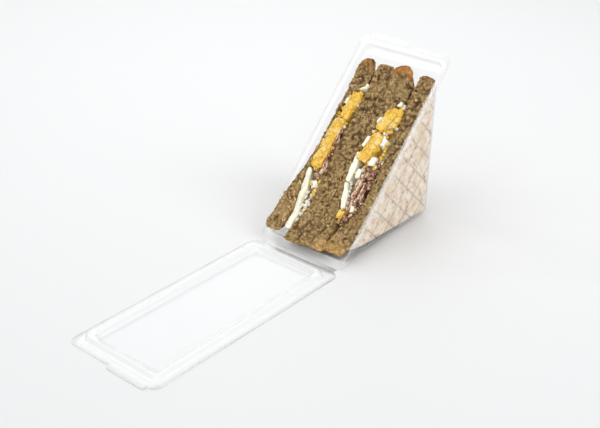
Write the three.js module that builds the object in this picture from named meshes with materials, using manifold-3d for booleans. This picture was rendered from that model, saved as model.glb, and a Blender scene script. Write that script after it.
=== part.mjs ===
// A hinged wedge pack for a cut sandwich, thermoformed from one clear sheet, with its sandwich inside.
// Millimetres, +Z up, X across the pack, +Y towards its back.
// The pack stands on its bottom panel, and the lid lies open and flat in front of it.

import * as THREE from 'three';
import { mergeVertices } from 'three/addons/utils/BufferGeometryUtils.js';
import Module from 'manifold-3d';

const wasm = await Module();
wasm.setup();

// Driving dimensions of the clear pack

const SHEET = 0.45;
const PACK_LENGTH = 187;
const PACK_WIDTH = 87;
const FLANGE_CORNER = 7.5;
const MOUTH_ANGLE = THREE.MathUtils.degToRad(45.9);
const SIDE_FLANGE = 5.5;
const LOWER_FLANGE = 7.5;
const UPPER_FLANGE = 7;
const MOUTH_CORNER = 6;
const FORM_RADIUS = 0.9;
const BACK_WALL_Y = 121.5;
const HEEL_RADIUS = 9;
const SIDE_DRAFT = Math.tan(THREE.MathUtils.degToRad(2.4));
const RECESS_DRAFT = 0.3;
const LEDGE_EDGE = 0.02;

const HINGE_STRIP = 5.2;
const HINGE_STRIP_SHEET = 0.3;
const HINGE_STRIP_SIDE_GAP = 7;
const HINGE_PARTING = 0.3;

const LID_SEAT = 0.3;
const PLUG_CLEARANCE = 0.6;
const PLUG_TIP_CLEARANCE = 0.35;
const RIDGE_HEIGHT = 5.5;
const RIDGE_SIDE_WIDTH = 7.6;
const RIDGE_END_WIDTH = 6;
const RIDGE_DRAFT = 0.7;
const RIDGE_ROUND = 1.6;
const PANEL_CORNER = 5;

const TAB_REACH = 3.4;
const TAB_CORNER = 3;
const TAB_ROOT = 4;
const BASE_TAB_FROM = -36;
const BASE_TAB_TO = 3.5;
const LID_TAB_FROM = -1;
const LID_TAB_TO = 38;

const LATTICE_PITCH = 15.8;
const LATTICE_FIRST_V = 38.5;
const LATTICE_FIRST_W = 20.5;
const LATTICE_HEIGHT = 0.4;
const LATTICE_WIDTH = 1.3;
const LATTICE_EDGE = 1.5;
const LATTICE_SHORTEST = 8;

// Driving dimensions of the sandwich

const CRUST_GAP = 0.4;
const LAYER_GAP = 0.3;
const CUT_BELOW_PLUG = 0.5;
const CRUST_ROUND = 5.5;
const SLICE_HEEL_RADIUS = 10;
const FACE_PIECE_DEPTH = 8;
const FACE_PIECE_PROUD = 1.2;
const FACE_PIECE_BEVEL = 0.6;
const FACE_PIECE_CORNER_SHARE = 0.55;
const FILLING_CRUST_MARGIN = 12;
const BAND_SPARE = 1.5;
const END_ROUND_SHARE = 0.45;

// How finely round stretches are stepped

const CORNER_STEPS = 5;
const HEEL_STEPS = 7;
const HEEL_FLAT_STEPS = 0.35;
const SLICE_EDGE_STEPS = 9;
const BAND_STEPS = 18;
const SLICE_END_STEPS = 6;
const SLICE_DEPTH_STEPS = 6;

// Values worked out from the driving dimensions

const SIN = Math.sin(MOUTH_ANGLE);
const COS = Math.cos(MOUTH_ANGLE);
const FLANGE_LIFT = SHEET * COS;
const MOUTH_HALF = PACK_WIDTH / 2 - SIDE_FLANGE;
const MOUTH_LOW = LOWER_FLANGE;
const MOUTH_HIGH = PACK_LENGTH - UPPER_FLANGE;
const PLUG_TIP = RIDGE_HEIGHT - SHEET - LID_SEAT;
const RECESS_DEPTH = PLUG_TIP + PLUG_TIP_CLEARANCE;
const CUT_FACE = PLUG_TIP + CUT_BELOW_PLUG;
const LID_CLOSED_TURN = Math.PI - MOUTH_ANGLE;
const LATTICE_MARGIN = MOUTH_CORNER + LATTICE_EDGE;
const BOTTOM_FRONT_Y = MOUTH_LOW * COS + (FLANGE_LIFT + MOUTH_LOW * SIN) / COS * SIN;
const BOTTOM_MIDDLE_Y = (BOTTOM_FRONT_Y + BACK_WALL_Y - HEEL_RADIUS) / 2;

const CLEAR_PLASTIC = { color: 0xeef2f4, roughness: 0.05, metalness: 0, transparent: true, opacity: 0.3 };
const CUT_BREAD = { color: 0x8f7048, roughness: 0.95, metalness: 0 };
const EGG_YOLK = { color: 0xe8b23a, roughness: 0.7, metalness: 0 };
const EGG_WHITE = { color: 0xe6e4d0, roughness: 0.35, metalness: 0 };
const BACON = { color: 0x9c5642, roughness: 0.45, metalness: 0 };

// General tools for closed bodies

function makeMesh(name, geometry, finish) {
  geometry.computeVertexNormals();
  const mesh = new THREE.Mesh(geometry, new THREE.MeshStandardMaterial(finish));
  mesh.name = name;
  return mesh;
}

// A closed skin through a row of loops with equal counts, capped flat at both ends.
function skinLoops(loops) {
  const count = loops[0].length;
  const positions = loops.flat().flatMap((point) => [point.x, point.y, point.z]);
  const faces = [];
  for (let row = 0; row + 1 < loops.length; row += 1) {
    for (let k = 0; k < count; k += 1) {
      const next = (k + 1) % count;
      const a = row * count + k;
      const b = row * count + next;
      faces.push(a, b, b + count, a, b + count, a + count);
    }
  }
  const last = (loops.length - 1) * count;
  const cap = (loop) => THREE.ShapeUtils.triangulateShape(loop.map((p) => new THREE.Vector2(p.x, p.y)), []);
  for (const [a, b, c] of cap(loops[0])) {
    faces.push(a, c, b);
  }
  for (const [a, b, c] of cap(loops[loops.length - 1])) {
    faces.push(last + a, last + b, last + c);
  }
  const geometry = new THREE.BufferGeometry();
  geometry.setAttribute('position', new THREE.Float32BufferAttribute(positions, 3));
  geometry.setIndex(faces);
  return geometry;
}

function toSolid(geometry) {
  const bare = geometry.clone();
  bare.deleteAttribute('normal');
  bare.deleteAttribute('uv');
  const merged = mergeVertices(bare, 1e-5);
  const solid = new wasm.Manifold(new wasm.Mesh({
    numProp: 3,
    vertProperties: new Float32Array(merged.attributes.position.array),
    triVerts: new Uint32Array(merged.index.array),
  }));
  return solid;
}

function toGeometry(solid) {
  const mesh = solid.getMesh();
  const geometry = new THREE.BufferGeometry();
  geometry.setAttribute('position', new THREE.BufferAttribute(new Float32Array(mesh.vertProperties), 3));
  geometry.setIndex(new THREE.BufferAttribute(new Uint32Array(mesh.triVerts), 1));
  return geometry;
}

// A rounded rectangle at height z, walked anticlockwise as seen from +Z.
function roundedLoop({ half, low, high, corner, z }) {
  const acrossRadius = Math.min(corner, half);
  const alongRadius = Math.min(corner, (high - low) / 2);
  const corners = [
    [half - acrossRadius, low + alongRadius, -90],
    [half - acrossRadius, high - alongRadius, 0],
    [acrossRadius - half, high - alongRadius, 90],
    [acrossRadius - half, low + alongRadius, 180],
  ];
  const loop = [];
  for (const [x, y, start] of corners) {
    for (let step = 0; step <= CORNER_STEPS; step += 1) {
      const turn = THREE.MathUtils.degToRad(start + 90 * step / CORNER_STEPS);
      loop.push(new THREE.Vector3(x + acrossRadius * Math.cos(turn), y + alongRadius * Math.sin(turn), z));
    }
  }
  return loop;
}

// The wedge's profile. In the mouth's frame v runs up the slope and w runs down into the wedge.
// An offset of 0 is the inner skin, SHEET the outer one, and a negative offset lies inside the hollow.

function heelCentre(radius, offset) {
  const y = BACK_WALL_Y - SHEET + offset - radius;
  const z = SHEET - offset + radius - FLANGE_LIFT;
  return { v: y * COS + z * SIN, w: y * SIN - z * COS, radius };
}

function profileAt(w, offset, radius = HEEL_RADIUS - SHEET + offset) {
  const heel = heelCentre(radius, offset);
  const inHeel = Math.sqrt(Math.max(radius ** 2 - (w - heel.w) ** 2, 0));
  const onBottom = w < heel.w + radius * COS;
  const onBack = w < heel.w + radius * SIN;
  const bottom = onBottom ? (w * COS + SHEET - offset - FLANGE_LIFT) / SIN : heel.v - inHeel;
  const back = onBack ? (BACK_WALL_Y - SHEET + offset - w * SIN) / COS : heel.v + inHeel;
  const front = MOUTH_LOW + RECESS_DRAFT - offset;
  return { low: Math.max(bottom, front), high: back };
}

function heelDepths(fromDepth, offset, radius = HEEL_RADIUS - SHEET + offset) {
  const heel = heelCentre(radius, offset);
  const start = Math.acos(Math.min((fromDepth - heel.w) / radius, 1));
  const depths = [];
  for (let step = 1; step <= HEEL_STEPS; step += 1) {
    depths.push(heel.w + radius * Math.cos(start * (1 - step / (HEEL_STEPS + HEEL_FLAT_STEPS))));
  }
  return depths;
}

function wallHalf(w, offset) {
  return MOUTH_HALF + offset - w * SIDE_DRAFT;
}

// Base tray

// One skin of the tray: flange, mouth edge, recess for the lid's plug, ledge, walls and rounded heel.
function traySkin(offset) {
  const ledge = RECESS_DEPTH + offset;
  const round = FORM_RADIUS * (1 - Math.SQRT1_2);
  const mouth = (grow, w) => roundedLoop({
    half: MOUTH_HALF + offset + grow,
    low: MOUTH_LOW - offset - grow,
    high: MOUTH_HIGH + offset + grow,
    corner: MOUTH_CORNER + offset + grow,
    z: -w,
  });
  const wedge = (w) => {
    const { low, high } = profileAt(w, offset);
    return roundedLoop({ half: wallHalf(w, offset), low, high, corner: MOUTH_CORNER + offset, z: -w });
  };
  const flange = roundedLoop({
    half: PACK_WIDTH / 2, low: 0, high: PACK_LENGTH, corner: FLANGE_CORNER, z: -offset,
  });
  const recessFloor = (grow, w) => roundedLoop({
    half: wallHalf(w, offset),
    low: MOUTH_LOW + RECESS_DRAFT - offset,
    high: MOUTH_HIGH - RECESS_DRAFT + offset + grow,
    corner: MOUTH_CORNER + offset,
    z: -w,
  });
  const frontFoot = (MOUTH_LOW + RECESS_DRAFT - offset) * SIN / COS - (SHEET - offset - FLANGE_LIFT) / COS;
  const heel = heelCentre(HEEL_RADIUS - SHEET + offset, offset);
  const heelStart = heel.w + heel.radius * Math.min(SIN, COS);
  return [
    flange,
    mouth(FORM_RADIUS, offset),
    mouth(round, offset + round),
    mouth(0, offset + FORM_RADIUS),
    recessFloor(0, ledge - FORM_RADIUS),
    recessFloor(-round, ledge - round),
    recessFloor(-FORM_RADIUS, ledge),
    wedge(ledge + LEDGE_EDGE),
    wedge(frontFoot),
    wedge((frontFoot + heelStart) / 2),
    wedge(heelStart),
    ...heelDepths(heelStart, offset).map(wedge),
  ];
}

// A straight bar with a tapered section, laid on the side wall from one point of the mouth's frame to another.
function latticeBar(from, to, side, height, width, sink, spare) {
  const section = new THREE.Shape([
    new THREE.Vector2(-width / 2, -sink),
    new THREE.Vector2(width / 2, -sink),
    new THREE.Vector2(width / 4, height),
    new THREE.Vector2(-width / 4, height),
  ]);
  const start = new THREE.Vector3(side * wallHalf(from.w, 0), from.v, -from.w);
  const end = new THREE.Vector3(side * wallHalf(to.w, 0), to.v, -to.w);
  const depth = start.distanceTo(end) + 2 * spare;
  const bar = new THREE.ExtrudeGeometry(section, { depth, bevelEnabled: false });
  const along = end.sub(start).normalize();
  const out = new THREE.Vector3(side, 0, -SIDE_DRAFT).normalize();
  const across = new THREE.Vector3().crossVectors(out, along).normalize();
  const outward = new THREE.Vector3().crossVectors(along, across);
  start.addScaledVector(along, -spare);
  bar.applyMatrix4(new THREE.Matrix4().makeBasis(across, outward, along).setPosition(start));
  return bar;
}

// The straight lines of the square lattice pressed into each side wall.
function latticeLines() {
  const lines = [];
  const top = RECESS_DEPTH + LATTICE_MARGIN;
  for (let v = LATTICE_FIRST_V; v < MOUTH_HIGH; v += LATTICE_PITCH) {
    const toBottom = (v * SIN + FLANGE_LIFT) / COS;
    const toBack = (BACK_WALL_Y - v * COS) / SIN;
    const deepest = Math.min(toBottom, toBack) - LATTICE_MARGIN;
    lines.push([{ v, w: top }, { v, w: deepest }]);
  }
  for (let w = LATTICE_FIRST_W; profileAt(w, 0).high > profileAt(w, 0).low; w += LATTICE_PITCH) {
    const { low, high } = profileAt(w, 0);
    lines.push([{ v: low + LATTICE_MARGIN, w }, { v: high - LATTICE_MARGIN, w }]);
  }
  return lines.filter(([a, b]) => b.v - a.v + b.w - a.w > LATTICE_SHORTEST);
}

function tabPlate(from, to, edge, towards) {
  const reach = edge + towards * TAB_REACH;
  const root = edge - towards * TAB_ROOT;
  const low = Math.min(reach, root);
  const high = Math.max(reach, root);
  const shape = new THREE.Shape();
  shape.moveTo(from + TAB_CORNER, low);
  shape.lineTo(to - TAB_CORNER, low);
  shape.absarc(to - TAB_CORNER, low + TAB_CORNER, TAB_CORNER, -Math.PI / 2, 0);
  shape.lineTo(to, high - TAB_CORNER);
  shape.absarc(to - TAB_CORNER, high - TAB_CORNER, TAB_CORNER, 0, Math.PI / 2);
  shape.lineTo(from + TAB_CORNER, high);
  shape.absarc(from + TAB_CORNER, high - TAB_CORNER, TAB_CORNER, Math.PI / 2, Math.PI);
  shape.lineTo(from, low + TAB_CORNER);
  shape.absarc(from + TAB_CORNER, low + TAB_CORNER, TAB_CORNER, Math.PI, Math.PI * 1.5);
  return new THREE.ExtrudeGeometry(shape, { depth: SHEET, bevelEnabled: false, curveSegments: CORNER_STEPS });
}

// The strip that folds when the lid is shut: it lies flat on the table, in front of the flange's foot.
function hingeStrip(mouthFrame) {
  const width = PACK_WIDTH - 2 * HINGE_STRIP_SIDE_GAP;
  const length = HINGE_STRIP - HINGE_PARTING + SHEET * SIN / 2;
  const strip = new THREE.BoxGeometry(width, length, HINGE_STRIP_SHEET);
  strip.translate(0, HINGE_PARTING - HINGE_STRIP + length / 2, HINGE_STRIP_SHEET / 2);
  mouthFrame.updateMatrix();
  strip.applyMatrix4(mouthFrame.matrix.clone().invert());
  return strip;
}

function buildTray(mouthFrame) {
  let tray = toSolid(skinLoops([...traySkin(SHEET).reverse(), ...traySkin(0)]));
  const tab = tabPlate(BASE_TAB_FROM, BASE_TAB_TO, PACK_LENGTH, 1);
  tab.translate(0, 0, -SHEET);
  tray = tray.add(toSolid(tab)).add(toSolid(hingeStrip(mouthFrame)));
  for (const side of [-1, 1]) {
    for (const [from, to] of latticeLines()) {
      const outerWidth = LATTICE_WIDTH + 2 * SHEET;
      const outerBar = latticeBar(from, to, side, LATTICE_HEIGHT + SHEET, outerWidth, -SHEET / 2, SHEET);
      tray = tray.add(toSolid(outerBar));
    }
    for (const [from, to] of latticeLines()) {
      tray = tray.subtract(toSolid(latticeBar(from, to, side, LATTICE_HEIGHT, LATTICE_WIDTH, SHEET, 0)));
    }
  }
  return makeMesh('base_tray', toGeometry(tray), CLEAR_PLASTIC);
}

// Lid

// The foot of the plug ridge, towards the flange and towards the panel, as it fits in the mouth.
function ridgeEdges(offset) {
  const outer = {
    half: MOUTH_HALF - PLUG_CLEARANCE - offset,
    low: MOUTH_LOW + PLUG_CLEARANCE + offset,
    high: MOUTH_HIGH - PLUG_CLEARANCE - offset,
    corner: MOUTH_CORNER - offset,
  };
  const inner = {
    half: outer.half - RIDGE_SIDE_WIDTH + 2 * offset,
    low: outer.low + RIDGE_END_WIDTH - 2 * offset,
    high: outer.high - RIDGE_END_WIDTH + 2 * offset,
    corner: PANEL_CORNER + offset,
  };
  return { outer, inner };
}

// One skin of the lid, which lies flat: flange, the plug ridge that stands round it, and the flat panel.
function lidSkin(offset) {
  const z = SHEET - offset;
  const top = RIDGE_HEIGHT - offset;
  const { outer, inner } = ridgeEdges(offset);
  const ring = (edge, shrink, height) => roundedLoop({
    half: edge.half - shrink,
    low: -edge.high + shrink,
    high: -edge.low - shrink,
    corner: edge.corner,
    z: height,
  });
  const round = RIDGE_ROUND * (1 - Math.SQRT1_2);
  const flange = roundedLoop({
    half: PACK_WIDTH / 2, low: -PACK_LENGTH, high: 0, corner: FLANGE_CORNER, z,
  });
  return [
    flange,
    ring(outer, 0, z),
    ring(outer, RIDGE_DRAFT, top - RIDGE_ROUND),
    ring(outer, RIDGE_DRAFT + round, top - round),
    ring(outer, RIDGE_DRAFT + RIDGE_ROUND, top),
    ring(inner, -RIDGE_DRAFT - RIDGE_ROUND, top),
    ring(inner, -RIDGE_DRAFT - round, top - round),
    ring(inner, -RIDGE_DRAFT, top - RIDGE_ROUND),
    ring(inner, 0, z),
  ];
}

function buildLid() {
  const skin = skinLoops([...lidSkin(SHEET).reverse(), ...lidSkin(0)]);
  const tab = tabPlate(LID_TAB_FROM, LID_TAB_TO, -PACK_LENGTH, -1);
  const lid = toSolid(skin).add(toSolid(tab));
  return makeMesh('lid', toGeometry(lid), CLEAR_PLASTIC);
}

// Sandwich

// The cut face's layout is written in shares of its half width, from its middle, and of its top's height.
const FACE_HALF = wallHalf(CUT_FACE, -CRUST_GAP);
const FACE_TOP = profileAt(CUT_FACE, -CRUST_GAP).high;

// Where the layers meet on the cut face, as [up, across] shares, each point joined smoothly to the next.
const LEFT_SLICE_INNER = [
  [0.048, -0.642], [0.179, -0.696], [0.369, -0.91], [0.774, -0.91], [0.881, -0.562], [1.012, -0.562],
];
const MIDDLE_LEFT_OUTER = [
  [0.048, -0.482], [0.268, -0.482], [0.506, -0.548], [0.881, -0.522], [1.012, -0.522],
];
const MIDDLE_JOIN = [
  [0.048, 0], [0.595, -0.054], [1.012, -0.08],
];
const MIDDLE_RIGHT_OUTER = [
  [0.048, 0.401], [0.155, 0.388], [0.31, 0.201], [0.488, 0.04], [0.714, 0.12], [0.881, 0.508], [1.012, 0.455],
];
const RIGHT_SLICE_INNER = [
  [0.048, 0.423], [0.155, 0.428], [0.31, 0.696], [0.655, 0.696], [0.881, 0.548], [1.012, 0.548],
];

function edgeAt(points, v) {
  const up = v / FACE_TOP;
  const after = points.findIndex(([pointUp], n) => n > 0 && up <= pointUp);
  const next = after > 0 ? after : points.length - 1;
  const [up0, across0] = points[next - 1];
  const [up1, across1] = points[next];
  return FACE_HALF * THREE.MathUtils.lerp(across0, across1, THREE.MathUtils.smoothstep(up, up0, up1));
}

// The upright space between two edges of the layers, less half of the gap between layers on each side.
function bandSpace(leftEdge, rightEdge) {
  const low = [];
  const high = [];
  for (let step = 0; step <= BAND_STEPS; step += 1) {
    const v = PACK_LENGTH * step / BAND_STEPS;
    const left = leftEdge ? edgeAt(leftEdge, v) + LAYER_GAP / 2 : -PACK_WIDTH / 2;
    const right = rightEdge ? edgeAt(rightEdge, v) - LAYER_GAP / 2 : PACK_WIDTH / 2;
    low.push(new THREE.Vector2(right, v));
    high.unshift(new THREE.Vector2(left, v));
  }
  const space = new THREE.ExtrudeGeometry(new THREE.Shape([...low, ...high]), {
    depth: PACK_LENGTH, bevelEnabled: false,
  });
  space.translate(0, 0, -PACK_LENGTH);
  return toSolid(space);
}

// A band of the sandwich between two edges, walked as a loop with round ends at one depth.
function bandLoop(leftEdge, rightEdge, w, low, high, endRound) {
  const wall = wallHalf(w, -CRUST_GAP);
  const left = (v) => Math.max(leftEdge ? edgeAt(leftEdge, v) - BAND_SPARE : -wall, -wall);
  const right = (v) => Math.min(rightEdge ? edgeAt(rightEdge, v) + BAND_SPARE : wall, wall);
  const reach = Math.min(endRound, (high - low) * END_ROUND_SHARE);
  const loop = [];
  const corner = (edge, other, v, away, start) => {
    const round = Math.min(reach, Math.abs(edge(v) - other(v)) * END_ROUND_SHARE);
    const centre = edge(v) + Math.sign(other(v) - edge(v)) * round;
    for (let step = 0; step < SLICE_END_STEPS; step += 1) {
      const turn = THREE.MathUtils.degToRad(start + 90 * (step + 0.5) / SLICE_END_STEPS);
      loop.push(new THREE.Vector3(centre + round * Math.cos(turn), v + away * reach * Math.abs(Math.sin(turn)), -w));
    }
  };
  const side = (edge, from, to) => {
    for (let step = 0; step <= SLICE_EDGE_STEPS; step += 1) {
      const v = THREE.MathUtils.lerp(from, to, step / SLICE_EDGE_STEPS);
      loop.push(new THREE.Vector3(edge(v), v, -w));
    }
  };
  corner(right, left, low + reach, -1, 270);
  side(right, low + reach, high - reach);
  corner(right, left, high - reach, 1, 0);
  corner(left, right, high - reach, 1, 90);
  side(left, high - reach, low + reach);
  corner(left, right, low + reach, -1, 180);
  return loop;
}

function sliceDepths(from, margin) {
  const heel = heelCentre(SLICE_HEEL_RADIUS, -CRUST_GAP - margin);
  const heelStart = heel.w + SLICE_HEEL_RADIUS * Math.min(SIN, COS);
  const depths = [];
  for (let step = 0; step <= SLICE_DEPTH_STEPS; step += 1) {
    depths.push(THREE.MathUtils.lerp(from, heelStart, step / SLICE_DEPTH_STEPS));
  }
  return [...depths, ...heelDepths(heelStart, -CRUST_GAP - margin, SLICE_HEEL_RADIUS)];
}

// A layer that fills the wedge from one depth down to its heel, held in from the crusts by a margin.
function layerSolid(leftEdge, rightEdge, from, margin) {
  const loops = sliceDepths(from, margin).map((w) => {
    const { low, high } = profileAt(w, -CRUST_GAP - margin, SLICE_HEEL_RADIUS);
    return bandLoop(leftEdge, rightEdge, w, low, high, CRUST_ROUND);
  });
  return toSolid(skinLoops(loops.reverse())).intersect(bandSpace(leftEdge, rightEdge)).intersect(crustSpace());
}

// The hollow of the wedge, drawn in from its walls by the crusts' gap, which trims what lies in it.
function crustSpace() {
  const heel = heelCentre(HEEL_RADIUS - SHEET - CRUST_GAP, -CRUST_GAP);
  const heelStart = heel.w + heel.radius * Math.min(SIN, COS);
  const depths = [0, heelStart, ...heelDepths(heelStart, -CRUST_GAP)];
  const loops = depths.map((w) => {
    const { low, high } = profileAt(w, -CRUST_GAP);
    return roundedLoop({ half: wallHalf(w, -CRUST_GAP), low, high, corner: MOUTH_CORNER - CRUST_GAP, z: -w });
  });
  return toSolid(skinLoops(loops.reverse()));
}

function buildSlice(name, leftEdge, rightEdge) {
  return makeMesh(name, toGeometry(layerSolid(leftEdge, rightEdge, CUT_FACE, 0)), CUT_BREAD);
}

function buildFilling(name, leftEdge, rightEdge) {
  const from = CUT_FACE + FACE_PIECE_DEPTH - FACE_PIECE_PROUD + LAYER_GAP;
  return makeMesh(name, toGeometry(layerSolid(leftEdge, rightEdge, from, FILLING_CRUST_MARGIN)), EGG_WHITE);
}

// The pieces that show on the cut face: name, finish, and in shares of the face the middle [across, up]
// and the size [wide, tall], then the lean in degrees.
const LEFT_FACE_PIECES = [
  ['egg_yolk_left_upper', EGG_YOLK, [-0.669, 0.756], [0.241, 0.149], -6],
  ['egg_yolk_left_lower', EGG_YOLK, [-0.762, 0.542], [0.294, 0.268], 0],
  ['egg_white_left_cap', EGG_WHITE, [-0.615, 0.863], [0.187, 0.036], 20],
  ['egg_white_left_bit', EGG_WHITE, [-0.829, 0.78], [0.134, 0.042], -10],
  ['egg_white_left_strip', EGG_WHITE, [-0.736, 0.244], [0.174, 0.322], 13],
  ['bacon_left_upper', BACON, [-0.602, 0.584], [0.107, 0.095], 4],
  ['bacon_left_lower', BACON, [-0.629, 0.441], [0.134, 0.107], 8],
  ['egg_white_left_crumb', EGG_WHITE, [-0.548, 0.333], [0.107, 0.036], 30],
];
const RIGHT_FACE_PIECES = [
  ['egg_yolk_right_upper', EGG_YOLK, [0.348, 0.744], [0.241, 0.131], -14],
  ['egg_yolk_right_side', EGG_YOLK, [0.548, 0.762], [0.134, 0.101], -8],
  ['egg_yolk_right_lower', EGG_YOLK, [0.294, 0.589], [0.268, 0.155], -12],
  ['egg_white_right_cap', EGG_WHITE, [0.375, 0.834], [0.214, 0.03], 8],
  ['egg_white_right_bit', EGG_WHITE, [0.201, 0.726], [0.107, 0.036], -20],
  ['egg_white_right_block', EGG_WHITE, [0.134, 0.613], [0.134, 0.054], -24],
  ['egg_white_right_cube', EGG_WHITE, [0.495, 0.53], [0.147, 0.048], 6],
  ['egg_white_right_upper_cube', EGG_WHITE, [0.522, 0.631], [0.147, 0.042], 0],
  ['egg_white_right_strip', EGG_WHITE, [0.128, 0.476], [0.134, 0.155], 3],
  ['egg_white_right_lower_strip', EGG_WHITE, [0.254, 0.333], [0.134, 0.131], 22],
  ['egg_white_right_chip', EGG_WHITE, [0.308, 0.453], [0.107, 0.048], 10],
  ['egg_yolk_right_crumb', EGG_YOLK, [0.388, 0.244], [0.134, 0.042], 0],
  ['bacon_right_upper', BACON, [0.522, 0.464], [0.161, 0.06], -20],
  ['bacon_right_strip', BACON, [0.468, 0.345], [0.094, 0.155], 8],
  ['bacon_right_lower', BACON, [0.607, 0.369], [0.107, 0.107], -4],
  ['egg_white_right_dot', EGG_WHITE, [0.575, 0.283], [0.107, 0.03], 0],
];

function facePieceSolid([, , [across, up], [wide, tall], lean], grow) {
  const halfU = FACE_HALF * wide / 2 + grow - FACE_PIECE_BEVEL;
  const halfV = FACE_TOP * tall / 2 + grow - FACE_PIECE_BEVEL;
  const corner = Math.min(halfU, halfV) * FACE_PIECE_CORNER_SHARE;
  const loop = roundedLoop({ half: halfU, low: -halfV, high: halfV, corner, z: 0 });
  const outline = new THREE.Shape(loop.map((p) => new THREE.Vector2(p.x, p.y)));
  const geometry = new THREE.ExtrudeGeometry(outline, {
    depth: FACE_PIECE_DEPTH + 2 * (grow - FACE_PIECE_BEVEL),
    bevelThickness: FACE_PIECE_BEVEL,
    bevelSize: FACE_PIECE_BEVEL,
    bevelSegments: 1,
  });
  geometry.translate(0, 0, FACE_PIECE_BEVEL - grow - FACE_PIECE_DEPTH + FACE_PIECE_PROUD - CUT_FACE);
  geometry.rotateZ(THREE.MathUtils.degToRad(lean));
  geometry.translate(across * FACE_HALF, up * FACE_TOP, 0);
  return toSolid(geometry);
}

// The ring that the shut lid's plug ridge takes up, with its seat's gap round it.
function plugSpace() {
  const { outer, inner } = ridgeEdges(0);
  const bottom = -PLUG_TIP - LID_SEAT;
  const prism = (edge, grow, low, high) => toSolid(skinLoops([low, high].map((z) => roundedLoop({
    half: edge.half + grow, low: edge.low - grow, high: edge.high + grow, corner: edge.corner, z,
  }))));
  return prism(outer, LID_SEAT, bottom, 1).subtract(prism(inner, -LID_SEAT, bottom - 1, 2));
}

// Each piece is trimmed to its space between the slices and cut back where an earlier piece already lies.
function buildFacePieces(pieces, leftEdge, rightEdge) {
  const above = CUT_FACE - FACE_PIECE_PROUD - LAYER_GAP;
  const space = layerSolid(leftEdge, rightEdge, above, 0).subtract(plugSpace());
  let taken = null;
  return pieces.map((piece) => {
    let solid = facePieceSolid(piece, 0).intersect(space);
    if (taken) {
      solid = solid.subtract(taken);
    }
    const grown = facePieceSolid(piece, LAYER_GAP);
    taken = taken ? taken.add(grown) : grown;
    return makeMesh(piece[0], toGeometry(solid), piece[1]);
  });
}

// Assembly

const mouthFrame = new THREE.Group();
mouthFrame.position.set(0, 0, FLANGE_LIFT);
mouthFrame.rotation.x = MOUTH_ANGLE;
mouthFrame.add(
  buildTray(mouthFrame),
  buildSlice('bread_slice_left', null, LEFT_SLICE_INNER),
  buildSlice('bread_slice_middle_left', MIDDLE_LEFT_OUTER, MIDDLE_JOIN),
  buildSlice('bread_slice_middle_right', MIDDLE_JOIN, MIDDLE_RIGHT_OUTER),
  buildSlice('bread_slice_right', RIGHT_SLICE_INNER, null),
  buildFilling('egg_filling_left', LEFT_SLICE_INNER, MIDDLE_LEFT_OUTER),
  buildFilling('egg_filling_right', MIDDLE_RIGHT_OUTER, RIGHT_SLICE_INNER),
  ...buildFacePieces(LEFT_FACE_PIECES, LEFT_SLICE_INNER, MIDDLE_LEFT_OUTER),
  ...buildFacePieces(RIGHT_FACE_PIECES, MIDDLE_RIGHT_OUTER, RIGHT_SLICE_INNER),
);

// The lid turns about the point that carries its near edge from the table to the flange's foot.
function lidHinge() {
  const open = new THREE.Vector2(-HINGE_STRIP, 0);
  const stack = SHEET + LID_SEAT;
  const shut = new THREE.Vector2(-stack * SIN, FLANGE_LIFT + stack * COS);
  const chord = shut.clone().sub(open);
  const drop = chord.length() / 2 / Math.tan(LID_CLOSED_TURN / 2);
  const down = new THREE.Vector2(chord.y, -chord.x).normalize();
  return open.add(shut).multiplyScalar(0.5).addScaledVector(down, drop);
}

const lidFrame = new THREE.Group();
const hinge = lidHinge();
const lid = buildLid();
lidFrame.position.set(0, hinge.x, hinge.y);
lid.position.set(0, -HINGE_STRIP - hinge.x, -hinge.y);
lidFrame.add(lid);

const pack = new THREE.Group();
pack.position.y = -BOTTOM_MIDDLE_Y;
pack.add(mouthFrame, lidFrame);

const sandwichPack = new THREE.Group();
sandwichPack.add(pack);

export default sandwichPack;
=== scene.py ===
"""The looks of an open, clear sandwich wedge pack with its cut sandwich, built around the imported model."""

import math

import bmesh
import bpy
import numpy as np
from mathutils import Euler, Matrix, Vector, noise


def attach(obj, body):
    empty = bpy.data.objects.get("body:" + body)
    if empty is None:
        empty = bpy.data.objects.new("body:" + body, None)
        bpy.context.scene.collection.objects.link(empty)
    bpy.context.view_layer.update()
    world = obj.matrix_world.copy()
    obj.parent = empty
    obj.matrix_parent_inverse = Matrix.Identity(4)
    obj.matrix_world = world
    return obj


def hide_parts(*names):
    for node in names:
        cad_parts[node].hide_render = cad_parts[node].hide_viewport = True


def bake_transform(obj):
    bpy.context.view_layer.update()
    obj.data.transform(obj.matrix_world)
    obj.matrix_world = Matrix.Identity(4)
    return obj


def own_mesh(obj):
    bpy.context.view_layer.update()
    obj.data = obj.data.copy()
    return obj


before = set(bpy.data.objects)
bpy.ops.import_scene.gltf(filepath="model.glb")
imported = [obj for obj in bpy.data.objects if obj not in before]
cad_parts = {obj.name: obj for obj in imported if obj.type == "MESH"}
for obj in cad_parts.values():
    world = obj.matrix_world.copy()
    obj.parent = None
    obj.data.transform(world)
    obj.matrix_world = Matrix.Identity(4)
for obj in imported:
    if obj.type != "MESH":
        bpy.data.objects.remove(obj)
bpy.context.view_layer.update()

MM = 0.001

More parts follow.
